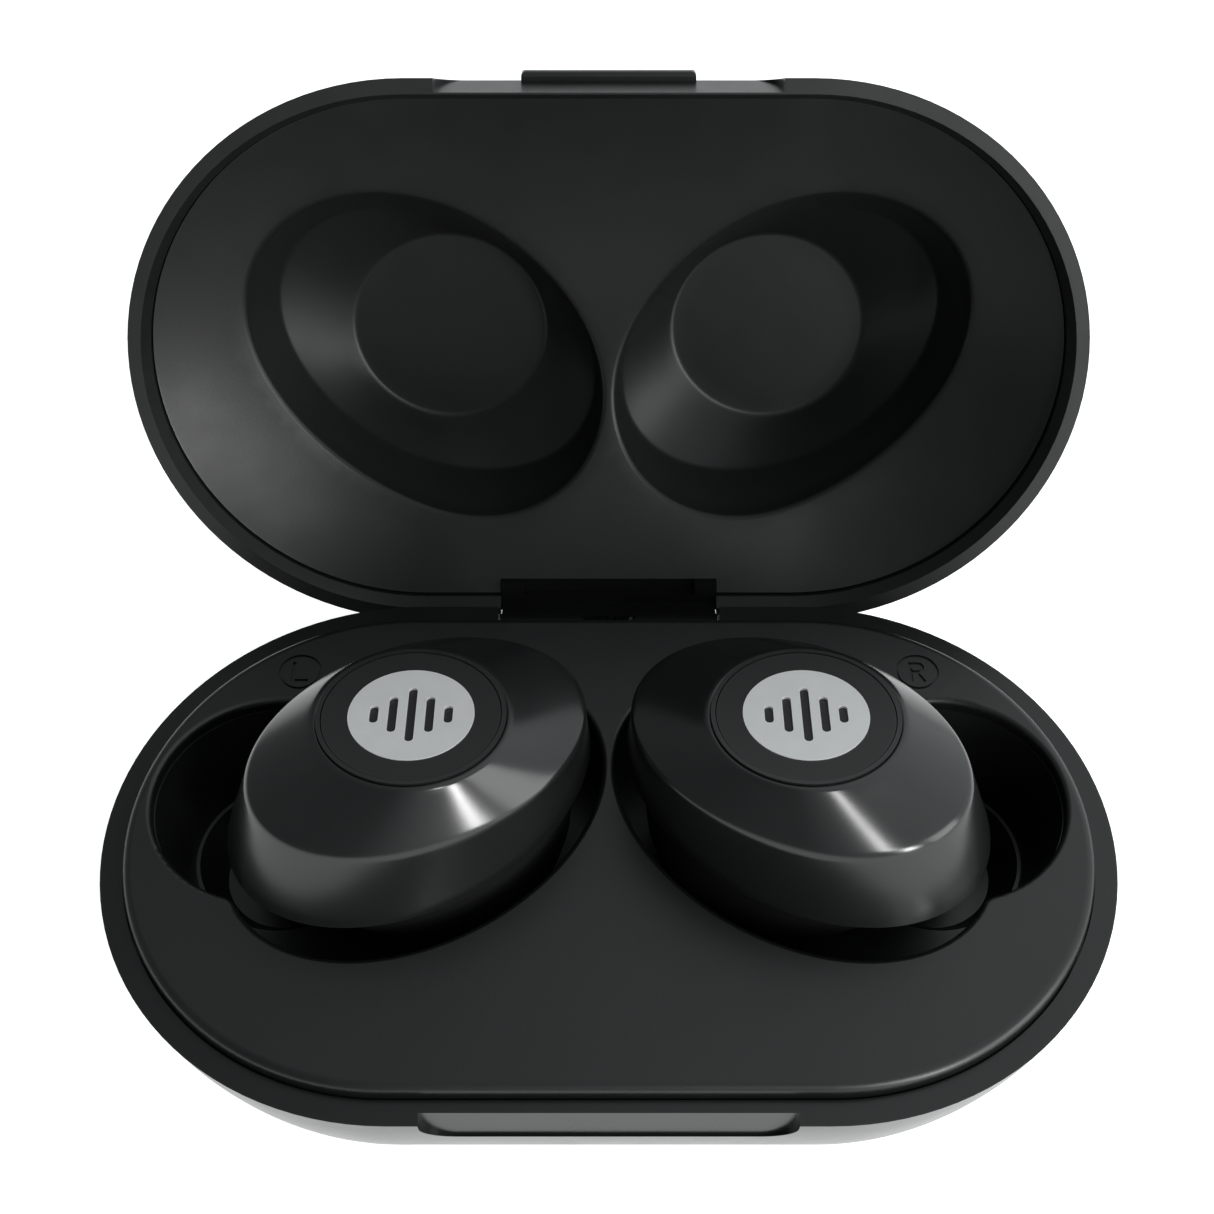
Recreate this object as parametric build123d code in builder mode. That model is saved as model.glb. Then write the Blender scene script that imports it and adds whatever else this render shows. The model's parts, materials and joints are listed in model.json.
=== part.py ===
"""Wireless earbuds case: a stadium-shaped charging case with a hinged lid and two earbuds in their pockets.

Millimetres. The origin is the centre of the flat underside, +Z is up, +Y points to the hinge and +X to
the right as the user looks into the open case. The lid is modelled closed and then swung open.
"""

import os
from math import atan, cos, degrees, radians, sin, tan

from build123d import *

os.makedirs("parts", exist_ok=True)

# ---- case outline ----
LENGTH = 66.0
WIDTH = 39.6
HALF = WIDTH / 2
STRAIGHT = LENGTH - WIDTH
PARTING = 15.5  # height of the base's rim above the underside
LID_GAP = 0.2  # seam between the base's rim and the closed lid

# ---- base shell ----
BASE_SKIN = 1.3
RIM_SLOPE = 11.0  # degrees from vertical where the wall leaves the rim
LOW_SLOPE = 24.5  # degrees from vertical low on the wall
WALL_BOW = 40.0
FOOT_ROUND = 4.0

# ---- inner tray ----
TRAY_RISE = 1.1
TRAY_LENGTH = 62.9
TRAY_WIDTH = 36.0
TRAY_PLATE = 2.3
TRAY_EDGE = 0.6
TRAY_TOP = PARTING + TRAY_RISE
TRAY_UNDER = TRAY_TOP - TRAY_PLATE
RIM_CLEARANCE = 0.12
CUP_WALL = 0.8
POCKET_FLOOR = 9.2
WELL_FLOOR = 6.8
WELL = (22.2, 2.8)
WELL_TOP_R = 7.8
WELL_STEP_R = 6.05
WELL_HOLE_R = 5.8
WELL_FLOOR_R = 4.2
POCKET_EDGE = 0.4

# ---- lid ----
LID_SKIN = 1.25
LID_SLOPE = 13.0
LID_SIDE_BOW = 36.6
LID_SHOULDER_FROM = 30.0
LID_SHOULDER_TO = 83.0
LID_SHOULDER = 7.5
LID_OPENING = (63.2, 36.5)
LINER_LENGTH = 63.0
LINER_WIDTH = 36.3
LINER_EDGE = 1.5  # how far the liner's edge lies above the parting plane
LINER_CROWN = 6.2  # the same at the liner's middle
LINER_SKIN = 0.8
LID_FLOOR = 11.8  # pocket floors in the lid, above the parting plane
RING_BEVEL = (0.5, 0.9)  # width and height of the slope inside the lid's rim

# ---- hinge ----
HINGE = (19.345, PARTING - 2.222)
OPEN_ANGLE = 112.7
KNUCKLE_R = 1.25
PIN_R = 0.5
PIN_LENGTH = 20.4
BARREL_HALF = 7.8
SLOT_HALF = 7.9
KNUCKLE_END = 10.4

# ---- earbuds: (centre x, centre y, half length, half width, turn, height) of each level ----
BUD_SKIRT = (12.85, 2.8, 12.8, 9.2, 36.5, 17.8)
BUD_EDGE = (12.05, 2.4, 11.15, 7.85, 25.0, 23.3)
BODY_TOP = (12.7, 2.6, 11.9, 8.3, 36.5, 17.75)
BODY_MID = (10.8, 1.8, 8.8, 7.0, 37.0, 13.4)
BODY_FLOOR = (9.6, 0.7, 5.9, 5.0, 37.0, 9.8)
POCKET = (12.55, 2.0, 13.3, 9.7, 38.0)
LID_MOUTH = (12.75, 1.3, 13.95, 10.6, 40.0, PARTING + 2.5)
LID_POCKET = (12.75, 0.9, 13.8, 10.2, 40.0, PARTING + 4.9)
LID_STEP = (12.3, 1.2, 12.3, 9.0, 34.0, PARTING + 8.4)
LID_DISC = (11.75, 1.2, 7.1, 7.1, 34.0, PARTING + LID_FLOOR)
BUD_SKIN = 0.9
FACE = (12.3, 2.8, 25.6)
FACE_LEAN = 9.0
FACE_R = 6.3
TRIM_OUT = 5.95
TRIM_IN = 5.66
BUTTON_R = 5.6
BADGE_R = 3.95
BADGE_THICK = 0.2

# ---- electronics ----
BOARD_Z = 3.3
BOARD_THICK = 0.8
PIN_SPOTS = ((13.2, -1.2), (10.8, -1.2))
SIDES = ((-1, "left"), (1, "right"))


def polar(centre, radius, degrees):
    """The point at a radius and angle from a centre."""
    return (centre[0] + radius * cos(radians(degrees)), centre[1] + radius * sin(radians(degrees)))


def save(piece, name):
    """Labels a finished piece and writes its STEP file."""
    piece.label = name
    export_step(piece, f"parts/{name}.step")


def bowl_half(skin):
    """Half of the base's cross-section, with every outside surface moved inwards by skin."""
    wall = (HALF - WALL_BOW * cos(radians(RIM_SLOPE)), PARTING + WALL_BOW * sin(radians(RIM_SLOPE)))
    bend = polar(wall, WALL_BOW, -LOW_SLOPE)
    foot_z = FOOT_ROUND * (1 - sin(radians(LOW_SLOPE)))
    foot_x = bend[0] - (bend[1] - foot_z) * tan(radians(LOW_SLOPE))
    foot = (foot_x - FOOT_ROUND * cos(radians(LOW_SLOPE)), FOOT_ROUND)
    rim = polar(wall, WALL_BOW - skin, -RIM_SLOPE)
    low = polar(wall, WALL_BOW - skin, -LOW_SLOPE)
    ground = polar(foot, FOOT_ROUND - skin, -LOW_SLOPE)
    CenterArc(wall, WALL_BOW - skin, -LOW_SLOPE, LOW_SLOPE - RIM_SLOPE)
    Line(low, ground)
    CenterArc(foot, FOOT_ROUND - skin, -90, 90 - LOW_SLOPE)
    Polyline((foot[0], skin), (0, skin), (0, rim[1]), rim)


def dome_half(skin):
    """Half of the closed lid's cross-section, with every outside surface moved inwards by skin."""
    base = PARTING + LID_GAP
    side = (HALF - LID_SIDE_BOW * cos(radians(LID_SLOPE)), base - LID_SIDE_BOW * sin(radians(LID_SLOPE)))
    shoulder = polar(side, LID_SIDE_BOW - LID_SHOULDER, LID_SHOULDER_FROM)
    crown_r = LID_SHOULDER + shoulder[0] / cos(radians(LID_SHOULDER_TO))
    crown = polar(shoulder, LID_SHOULDER - crown_r, LID_SHOULDER_TO)
    rim = polar(side, LID_SIDE_BOW - skin, LID_SLOPE)
    top = crown[1] + crown_r - skin
    CenterArc(side, LID_SIDE_BOW - skin, LID_SLOPE, LID_SHOULDER_FROM - LID_SLOPE)
    CenterArc(shoulder, LID_SHOULDER - skin, LID_SHOULDER_FROM, LID_SHOULDER_TO - LID_SHOULDER_FROM)
    CenterArc((0, crown[1]), crown_r - skin, LID_SHOULDER_TO, 90 - LID_SHOULDER_TO)
    Polyline((0, top), (0, rim[1]), rim)


def liner_arc(lift):
    """The dished line from the liner's edge to its middle, lifted by a distance."""
    edge = LINER_WIDTH / 2
    rise = LINER_CROWN - LINER_EDGE
    bow = (edge**2 + rise**2) / (2 * rise)
    middle = PARTING + LINER_CROWN + lift
    halfway = (edge / 2, middle - bow + (bow**2 - edge**2 / 4) ** 0.5)
    ThreePointArc((edge, middle - rise), halfway, (0, middle))


def liner_half():
    """Half of the dished liner's cross-section."""
    edge = LINER_WIDTH / 2
    liner_arc(0)
    liner_arc(LINER_SKIN)
    Line((0, PARTING + LINER_CROWN), (0, PARTING + LINER_CROWN + LINER_SKIN))
    Line((edge, PARTING + LINER_EDGE), (edge, PARTING + LINER_EDGE + LINER_SKIN))


def dish_half():
    """Half of the hollow under the dished liner."""
    edge = LINER_WIDTH / 2
    liner_arc(0)
    Polyline((0, PARTING + LINER_CROWN), (0, PARTING), (edge, PARTING), (edge, PARTING + LINER_EDGE))


def stadium_solid(straight, draw_half, *sizes):
    """A half section carried round a stadium: extruded along its straight and revolved round both ends."""
    with BuildPart() as body:
        with BuildSketch(Plane.YZ.offset(-straight / 2)):
            with BuildLine():
                draw_half(*sizes)
            make_face()
            mirror(about=Plane.YZ)
        extrude(amount=straight)
        for end in (-1, 1):
            centre = (end * straight / 2, 0, 0)
            with BuildSketch(Plane(origin=centre, x_dir=(0, -end, 0), z_dir=(-end, 0, 0))):
                with BuildLine():
                    draw_half(*sizes)
                make_face()
            revolve(axis=Axis(centre, (0, 0, 1)), revolution_arc=180)
    return body.part


def slab(length, width, low, high):
    """A flat stadium between two heights."""
    with BuildPart() as plate:
        with BuildSketch(Plane.XY.offset(low)):
            SlotOverall(length, width)
        extrude(amount=high - low)
    return plate.part


def mirrored_turn(side, turn):
    """The direction of an oval's inner end: the right side's is the left side's mirror image."""
    return turn if side < 0 else 180 - turn


def oval(side, level, grow=0.0):
    """An ellipse of one earbud level, for the left (-1) or right (1) side, drawn in the current sketch."""
    with Locations((side * level[0], level[1])):
        Ellipse(level[2] + grow, level[3] + grow, rotation=mirrored_turn(side, level[4]))


def oval_loft(side, levels, grow=0.0):
    """A solid that runs straight from each earbud level to the next."""
    with BuildPart() as body:
        for low, high in zip(levels, levels[1:]):
            for level in (low, high):
                with BuildSketch(Plane.XY.offset(level[5])):
                    oval(side, level, grow)
            loft(ruled=True)
    return body.part


def cone_stack(side, levels):
    """Cones about the ear-tip well's axis, one between each pair of (height, radius) levels."""
    with BuildPart() as body:
        for lower, upper in zip(levels, levels[1:]):
            for height, radius in (lower, upper):
                with BuildSketch(Plane.XY.offset(height)):
                    with Locations((side * WELL[0], WELL[1])):
                        Circle(radius)
            loft()
    return body.part


def peg(plane, radius, length):
    """A round peg that stands on a plane."""
    with BuildPart() as body:
        with BuildSketch(plane):
            Circle(radius)
        extrude(amount=length)
    return body.part


def block(centre, size):
    """A rectangular block about its centre."""
    with BuildPart() as body:
        with Locations(centre):
            Box(*size)
    return body.part


def at_height(level, height):
    """The same oval at another height."""
    return (*level[:5], height)


def face_plane(side, height=0.0):
    """The plane of an earbud's leaning outer face, moved out along its normal by height."""
    lean = radians(FACE_LEAN)
    plane = Plane(origin=(side * FACE[0], *FACE[1:]), x_dir=(1, 0, 0), z_dir=(0, sin(lean), cos(lean)))
    return plane.offset(height)


def bud_outer(side, inset, top_r, face_height):
    """The earbud's flared skirt and cone as one solid, moved inwards by inset."""
    lean = radians(FACE_LEAN)
    seam = radians(mirrored_turn(side, BUD_EDGE[4]))
    low = (*BUD_SKIRT[:2], BUD_SKIRT[2] - inset, BUD_SKIRT[3] - inset, *BUD_SKIRT[4:])
    edge_drop = inset * 0.4
    edge = (*BUD_EDGE[:2], BUD_EDGE[2] - inset, BUD_EDGE[3] - inset, BUD_EDGE[4], BUD_EDGE[5] - edge_drop)
    origin = face_plane(side, face_height).origin
    along = (cos(seam), sin(seam) * cos(lean), -sin(seam) * sin(lean))
    with BuildPart() as body:
        add(oval_loft(side, (low, edge)))
        with BuildSketch(Plane.XY.offset(edge[5])):
            oval(side, edge)
        with BuildSketch(Plane(origin=origin, x_dir=along, z_dir=(0, sin(lean), cos(lean)))):
            Circle(top_r)
        loft(ruled=True)
    return body.part


# ================= base =================
base_bowl = stadium_solid(STRAIGHT, bowl_half, 0.0)
base_hollow = stadium_solid(STRAIGHT, bowl_half, BASE_SKIN)
RIM_HOLE = (TRAY_LENGTH + 2 * RIM_CLEARANCE, TRAY_WIDTH + 2 * RIM_CLEARANCE)
RIM_INSET = 1.6  # the rims' bands are this much smaller than the outline
RIM_BAND = 1.9
STEP_WIDTH = 0.5
NOTCH_HALF = 11.3
NOTCH_CORNER = 2.2
SLOT_MOUTH = TRAY_WIDTH / 2 + RIM_CLEARANCE
SLOT_BAY = 17.85
OUTSIDE = 22.0  # a distance beyond every wall, for cuts that run out
NOTCH_BACK = 18.95
NOTCH_DEEP = 2.9
PORT = (8.94, 3.26)
PORT_Z = BOARD_Z + BOARD_THICK + PORT[1] / 2
PORT_CLEARANCE = 0.15
PORT_CUT = (12.0, 20.0)  # how far back the port's opening starts and ends
KNUCKLE_WEB = (1.6, 0.5, 0.6)  # width, drop below the pin, how much lower than the knuckle
BAY_DROP = 0.2
BAY_CLEARANCE = 0.3
SLOT_DEEP = 4.0
PIN_BORE = 0.01

with BuildPart() as base_shell:
    add(base_bowl)
    add(base_hollow, mode=Mode.SUBTRACT)
    # the rim is thicker than the wall, with a step that the tray's plate rests on
    band = slab(LENGTH - RIM_INSET, WIDTH - RIM_INSET, PARTING - RIM_BAND, PARTING)
    add(band)
    add(slab(*RIM_HOLE, TRAY_UNDER, PARTING + 1), mode=Mode.SUBTRACT)
    step_hole = (RIM_HOLE[0] - 2 * STEP_WIDTH, RIM_HOLE[1] - 2 * STEP_WIDTH)
    add(slab(*step_hole, PARTING - RIM_BAND - 1, TRAY_UNDER), mode=Mode.SUBTRACT)
    # shallow finger notch in the front wall, open upwards
    with BuildSketch(Plane.XZ.offset(NOTCH_BACK)):
        with Locations((0, PARTING + 1)):
            notch = Rectangle(2 * NOTCH_HALF, 2 * (NOTCH_DEEP + 1))
        fillet(notch.vertices().group_by(Axis.Y)[0], NOTCH_CORNER)
    extrude(amount=3, mode=Mode.SUBTRACT)
    # knuckles that carry the hinge pin, each with a web back into the wall
    for side in (-1, 1):
        with BuildSketch(Plane.YZ.offset(side * SLOT_HALF)):
            with Locations(HINGE):
                Circle(KNUCKLE_R)
            with Locations((HINGE[0] - KNUCKLE_WEB[0] / 2, HINGE[1] - KNUCKLE_WEB[1])):
                Rectangle(KNUCKLE_WEB[0], 2 * KNUCKLE_R - KNUCKLE_WEB[2])
        extrude(amount=side * (KNUCKLE_END - SLOT_HALF))
    # slot for the lid's hinge barrel: a narrow mouth in the rim above a wider bay
    with BuildSketch(Plane.YZ):
        with Locations((OUTSIDE, PARTING)):
            Rectangle(2 * (OUTSIDE - SLOT_MOUTH), 2 * SLOT_DEEP)
        with Locations((OUTSIDE, HINGE[1] - BAY_DROP)):
            Rectangle(2 * (OUTSIDE - SLOT_BAY), 2 * (KNUCKLE_R + BAY_CLEARANCE))
    extrude(amount=SLOT_HALF, both=True, mode=Mode.SUBTRACT)
    with BuildSketch(Plane.YZ):
        with Locations(HINGE):
            Circle(PIN_R + PIN_BORE)
    extrude(amount=PIN_LENGTH / 2, both=True, mode=Mode.SUBTRACT)
    # charging port opening in the rear wall
    with BuildSketch(Plane.XZ.offset(-PORT_CUT[0])):
        with Locations((0, PORT_Z)):
            RectangleRounded(PORT[0] + 2 * PORT_CLEARANCE, PORT[1] + 2 * PORT_CLEARANCE, PORT[1] / 2)
    extrude(amount=PORT_CUT[0] - PORT_CUT[1], mode=Mode.SUBTRACT)
save(base_shell.part, "base_shell")

# ================= inner tray =================
BOSSES = ((-7.0, -11.6), (7.0, -11.6), (-7.0, 11.2), (7.0, 11.2))
BOSS_R = 1.5
BOARD_TOP = BOARD_Z + BOARD_THICK
PILOT_R = 0.62
MARK = (21.3, 13.1)
MARK_R = 1.5
MARK_LINE = 0.2
MARK_DEEP = 0.15
CUP_UNDER = POCKET_FLOOR - CUP_WALL
PIN_HOLE_R = 0.6
POCKET_LIP = 1.0
MOUTH_CORNER = 1.2

with BuildPart() as inner_tray:
    add(slab(TRAY_LENGTH, TRAY_WIDTH, TRAY_UNDER, TRAY_TOP))
    fillet(inner_tray.edges().group_by(Axis.Z)[-1], TRAY_EDGE)
    # cups that hang under the plate, and bosses that reach down to the board
    for side, _ in SIDES:
        with BuildSketch(Plane.XY.offset(CUP_UNDER)):
            oval(side, POCKET, CUP_WALL)
        extrude(amount=TRAY_UNDER + 0.5 - CUP_UNDER)
        deep = (WELL_FLOOR - CUP_WALL, WELL_FLOOR_R + CUP_WALL)
        step = (CUP_UNDER, WELL_STEP_R + CUP_WALL)
        add(cone_stack(side, (deep, step, (TRAY_UNDER + 0.5, WELL_TOP_R + 0.3))))
    for x, y in BOSSES:
        boss_top = CUP_UNDER if y > 0 else TRAY_UNDER
        add(peg(Plane((x, y, BOARD_TOP)), BOSS_R, boss_top + 0.4 - BOARD_TOP))
        add(peg(Plane((x, y, BOARD_TOP)), PILOT_R, 3.6), mode=Mode.SUBTRACT)
    # pockets for the two earbuds, each with a well for its ear tip
    for side, _ in SIDES:
        with BuildSketch(Plane.XY.offset(TRAY_TOP - POCKET_LIP)) as mouth:
            oval(side, POCKET)
            with Locations((side * WELL[0], WELL[1])):
                Circle(WELL_TOP_R)
            corners = mouth.vertices().sort_by_distance((side * WELL[0], WELL[1]))[:2]
            fillet(corners, MOUTH_CORNER)
        extrude(amount=POCKET_LIP + 1, mode=Mode.SUBTRACT)
        mouth_rim = inner_tray.edges().filter_by_position(Axis.Z, TRAY_TOP - 0.01, TRAY_TOP + 0.01)
        mouth_rim = mouth_rim.filter_by(lambda edge: abs(edge.center().Y) < 16 and 0 < edge.center().X * side < 30.6)
        fillet(mouth_rim, POCKET_EDGE)
        with BuildSketch(Plane.XY.offset(POCKET_FLOOR)):
            oval(side, POCKET)
        extrude(amount=TRAY_TOP - POCKET_LIP - POCKET_FLOOR, mode=Mode.SUBTRACT)
        well = ((POCKET_FLOOR, WELL_STEP_R), (TRAY_TOP - POCKET_LIP, WELL_TOP_R - 0.05))
        add(cone_stack(side, well), mode=Mode.SUBTRACT)
        hole = ((WELL_FLOOR, WELL_FLOOR_R), (POCKET_FLOOR, WELL_HOLE_R))
        add(cone_stack(side, hole), mode=Mode.SUBTRACT)
        for x, y in PIN_SPOTS:
            add(peg(Plane((side * x, y, CUP_UNDER - 0.5)), PIN_HOLE_R, 2), mode=Mode.SUBTRACT)
    # engraved left and right marks: a ring round a plain letter
    with BuildSketch(Plane.XY.offset(TRAY_TOP - MARK_DEEP)):
        for side, _ in SIDES:
            with Locations((side * MARK[0], MARK[1])):
                Circle(MARK_R)
                Circle(MARK_R - MARK_LINE, mode=Mode.SUBTRACT)
        with Locations((-MARK[0] - 0.45, MARK[1])):
            Rectangle(0.24, 1.7)
        with Locations((-MARK[0] + 0.05, MARK[1] - 0.73)):
            Rectangle(1.1, 0.24)
        with Locations((MARK[0] - 0.45, MARK[1])):
            Rectangle(0.24, 1.7)
        with Locations((MARK[0] - 0.05, MARK[1] + 0.38)):
            SlotOverall(1.14, 0.94)
            SlotOverall(0.7, 0.46, mode=Mode.SUBTRACT)
        with Locations((MARK[0] + 0.22, MARK[1] - 0.45)):
            Rectangle(0.24, 0.95, rotation=32)
    extrude(amount=1, mode=Mode.SUBTRACT)
save(inner_tray.part, "inner_tray")

# ================= lid, modelled closed =================
HINGE_AXIS = Axis((0, *HINGE), (1, 0, 0))
LID_NOTCH_HALF = 11.3
LID_NOTCH_BACK = 18.87
LID_NOTCH_TOP = PARTING + 3.6
LIP_Z = PARTING + 3.1
LIP_HIGH = 0.9
LIP_TIP = 19.5
LIP_ROOT = 18.0
LIP_HALF = 5.75
LIP_ROUND = 0.3
BLOCK_FRONT = 17.3
BLOCK_LOW = TRAY_TOP + 0.25
BLOCK_HIGH = PARTING + 5.0
ARM_FRONT = 18.86
ARM_BACK = 19.75
SPRING_HALF = 1.9
SPRING_GAP = (2 * SPRING_HALF, 4.0, 2.8)
LEAF_SLOT = (12.6, 2.0, 1.6)
LINER_SLACK = 0.05
ARM_OVERLAP = 0.2
ARM_BORE = 0.04
LATCH_MAGNET = (5.0, 1.6, 1.6)


def swing_open(piece):
    """A lid piece turned about the hinge from closed to fully open."""
    return piece.rotate(HINGE_AXIS, -OPEN_ANGLE)


with BuildPart() as thumb_lip:
    with BuildSketch(Plane.XY.offset(LIP_Z)):
        with Locations((0, -(LIP_TIP + LIP_ROOT) / 2)):
            Rectangle(2 * LIP_HALF, LIP_TIP - LIP_ROOT)
    extrude(amount=LIP_HIGH)
    fillet(thumb_lip.faces().sort_by(Axis.Y)[0].edges(), LIP_ROUND)

with BuildPart() as hinge_block:
    add(block((0, (BLOCK_FRONT + OUTSIDE) / 2, (BLOCK_LOW + BLOCK_HIGH) / 2),
              (2 * SLOT_HALF, OUTSIDE - BLOCK_FRONT, BLOCK_HIGH - BLOCK_LOW)))
    add(stadium_solid(STRAIGHT, dome_half, 0.0), mode=Mode.INTERSECT)

with BuildPart() as lid_shell:
    add(stadium_solid(STRAIGHT, dome_half, 0.0))
    add(stadium_solid(STRAIGHT, dome_half, LID_SKIN), mode=Mode.SUBTRACT)
    # a thicker flat ring at the rim, with a slope down to the liner inside it
    add(slab(LENGTH - RIM_INSET, WIDTH - RIM_INSET, PARTING + LID_GAP, PARTING + LINER_EDGE))
    add(slab(*LID_OPENING, PARTING - 1, PARTING + LINER_EDGE + 1), mode=Mode.SUBTRACT)
    with BuildSketch(Plane.XY.offset(PARTING + LID_GAP)):
        SlotOverall(LID_OPENING[0] + 2 * RING_BEVEL[0], LID_OPENING[1] + 2 * RING_BEVEL[0])
    extrude(amount=RING_BEVEL[1], taper=degrees(atan(RING_BEVEL[0] / RING_BEVEL[1])), mode=Mode.SUBTRACT)
    # shallow notch under the thumb lip, which runs out where the wall curves in
    with BuildSketch(Plane.XZ.offset(LID_NOTCH_BACK)):
        with Locations((0, PARTING)):
            lid_notch = Rectangle(2 * LID_NOTCH_HALF, 2 * (LID_NOTCH_TOP - PARTING))
        fillet(lid_notch.vertices().group_by(Axis.Y)[-1], NOTCH_CORNER)
    extrude(amount=3, mode=Mode.SUBTRACT)
    add(thumb_lip.part)
    # opening at the rear that the hinge block fills
    add(block((0, (BLOCK_FRONT + OUTSIDE) / 2, (PARTING - 1 + BLOCK_HIGH) / 2),
              (2 * SLOT_HALF, OUTSIDE - BLOCK_FRONT, BLOCK_HIGH - PARTING + 1)), mode=Mode.SUBTRACT)
save(swing_open(lid_shell.part), "lid_shell")

with BuildPart() as lid_liner:
    add(stadium_solid(LINER_LENGTH - LINER_WIDTH, liner_half))
    cup_top = at_height(LID_DISC, LID_DISC[5] + LINER_SKIN)
    for side, _ in SIDES:
        add(oval_loft(side, (LID_MOUTH, LID_POCKET, LID_STEP, cup_top), LINER_SKIN))
    add(stadium_solid(LINER_LENGTH - LINER_WIDTH, dish_half), mode=Mode.SUBTRACT)
    for side, _ in SIDES:
        mouth_levels = (at_height(LID_MOUTH, PARTING), LID_MOUTH, LID_POCKET, LID_STEP, LID_DISC)
        add(oval_loft(side, mouth_levels), mode=Mode.SUBTRACT)
    add(block((0, (BLOCK_FRONT + OUTSIDE) / 2 - LINER_SLACK, (PARTING - 1 + BLOCK_HIGH) / 2 + LINER_SLACK),
              (2 * (SLOT_HALF + LINER_SLACK), OUTSIDE - BLOCK_FRONT, BLOCK_HIGH - PARTING + 1)), mode=Mode.SUBTRACT)
save(swing_open(lid_liner.part), "lid_liner")

with BuildPart() as lid_hinge_arm:
    add(hinge_block.part)
    add(block((0, (ARM_FRONT + ARM_BACK) / 2, (HINGE[1] + BLOCK_LOW + ARM_OVERLAP) / 2),
              (2 * BARREL_HALF, ARM_BACK - ARM_FRONT, BLOCK_LOW + ARM_OVERLAP - HINGE[1])))
    with BuildSketch(Plane.YZ.offset(-BARREL_HALF)):
        with Locations(HINGE):
            Circle(KNUCKLE_R)
    extrude(amount=2 * BARREL_HALF)
    # slot for the lid's leaf along the front of the block's underside
    add(block((0, BLOCK_FRONT, BLOCK_LOW), LEAF_SLOT), mode=Mode.SUBTRACT)
    # bore for the pin, and a gap round it for the spring
    with BuildSketch(Plane.YZ.offset(-BARREL_HALF - 1)):
        with Locations(HINGE):
            Circle(PIN_R + ARM_BORE)
    extrude(amount=2 * BARREL_HALF + 2, mode=Mode.SUBTRACT)
    add(block((0, *HINGE), SPRING_GAP), mode=Mode.SUBTRACT)
save(swing_open(lid_hinge_arm.part), "lid_hinge_arm")

LID_MAGNET = (5.0, 16.0, PARTING + 4.75)
BASE_MAGNET_DROP = 0.9
with BuildPart() as lid_latch_magnets:
    for side, _ in SIDES:
        with Locations((side * LID_MAGNET[0], -LID_MAGNET[1], LID_MAGNET[2])):
            Box(*LATCH_MAGNET)
save(swing_open(lid_latch_magnets.part), "lid_latch_magnets")

# ================= hinge pin and spring =================
save(peg(Plane(origin=(-PIN_LENGTH / 2, *HINGE), z_dir=(1, 0, 0)), PIN_R, PIN_LENGTH), "hinge_pin")

SPRING_R = 0.9
SPRING_WIRE = 0.15
SPRING_PITCH = 0.55
SPRING_END = 0.3
coil_start = (-SPRING_HALF + SPRING_END, *HINGE)
with BuildPart() as hinge_spring:
    with BuildLine():
        coil = Helix(SPRING_PITCH, 2 * (SPRING_HALF - SPRING_END), SPRING_R, center=coil_start, direction=(1, 0, 0))
    with BuildSketch(Plane(origin=coil @ 0, z_dir=coil % 0)):
        Circle(SPRING_WIRE)
    sweep(path=coil, is_frenet=True)
save(hinge_spring.part, "hinge_spring")

# ================= electronics in the base =================
BATTERY = (18.0, 18.0, 3.6)
SCREW_R = 0.6
SCREW_HEAD = (1.15, 0.7)
SCREW_LENGTH = 3.2

with BuildPart() as main_board:
    with BuildSketch(Plane.XY.offset(BOARD_Z)):
        SlotOverall(46.0, 27.4)
        with Locations(*BOSSES):
            Circle(SCREW_R + 0.15, mode=Mode.SUBTRACT)
        with Locations((0, 15.0)):
            Rectangle(12, 2.0, mode=Mode.SUBTRACT)
    extrude(amount=BOARD_THICK)
save(main_board.part, "main_board")

with BuildPart() as board_screws:
    for x, y in BOSSES:
        add(peg(Plane((x, y, BOARD_Z - SCREW_HEAD[1])), SCREW_HEAD[0], SCREW_HEAD[1]))
        add(peg(Plane((x, y, BOARD_Z - 0.1)), SCREW_R, SCREW_LENGTH + BOARD_THICK))
save(board_screws.part, "board_screws")

with BuildPart() as board_chips:
    for x, y, width, depth in ((-15.0, -6.5, 4.0, 4.0), (15.0, -6.5, 3.0, 3.0), (12.8, 9.0, 2.0, 3.2)):
        with Locations((x, y, BOARD_TOP + 0.45)):
            Box(width, depth, 0.9)
save(board_chips.part, "board_chips")

with BuildPart() as case_battery:
    with BuildSketch(Plane.XY.offset(BOARD_TOP + 0.15)):
        RectangleRounded(BATTERY[0], BATTERY[1], 1.0)
    extrude(amount=BATTERY[2])
    fillet(case_battery.edges().filter_by(Plane.XY), 0.5)
save(case_battery.part, "case_battery")

PORT_DEPTH = 6.6
PORT_MOUTH = 16.2
with BuildPart() as usb_c_shell:
    with BuildSketch(Plane.XZ.offset(-PORT_MOUTH)):
        with Locations((0, PORT_Z)):
            RectangleRounded(*PORT, PORT[1] / 2 - 0.01)
            RectangleRounded(PORT[0] - 0.6, PORT[1] - 0.6, PORT[1] / 2 - 0.32, mode=Mode.SUBTRACT)
    extrude(amount=PORT_DEPTH)
    with BuildSketch(Plane.XZ.offset(-PORT_MOUTH + PORT_DEPTH)):
        with Locations((0, PORT_Z)):
            RectangleRounded(*PORT, PORT[1] / 2 - 0.01)
    extrude(amount=0.3)
save(usb_c_shell.part, "usb_c_shell")
save(block((0, PORT_MOUTH - PORT_DEPTH / 2 - 0.4, PORT_Z), (6.7, PORT_DEPTH - 0.8, 0.7)), "usb_c_tongue")

with BuildPart() as base_latch_magnets:
    for side, _ in SIDES:
        with Locations((side * LID_MAGNET[0], -LID_MAGNET[1], TRAY_UNDER - BASE_MAGNET_DROP)):
            Box(*LATCH_MAGNET)
save(base_latch_magnets.part, "base_latch_magnets")

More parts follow.
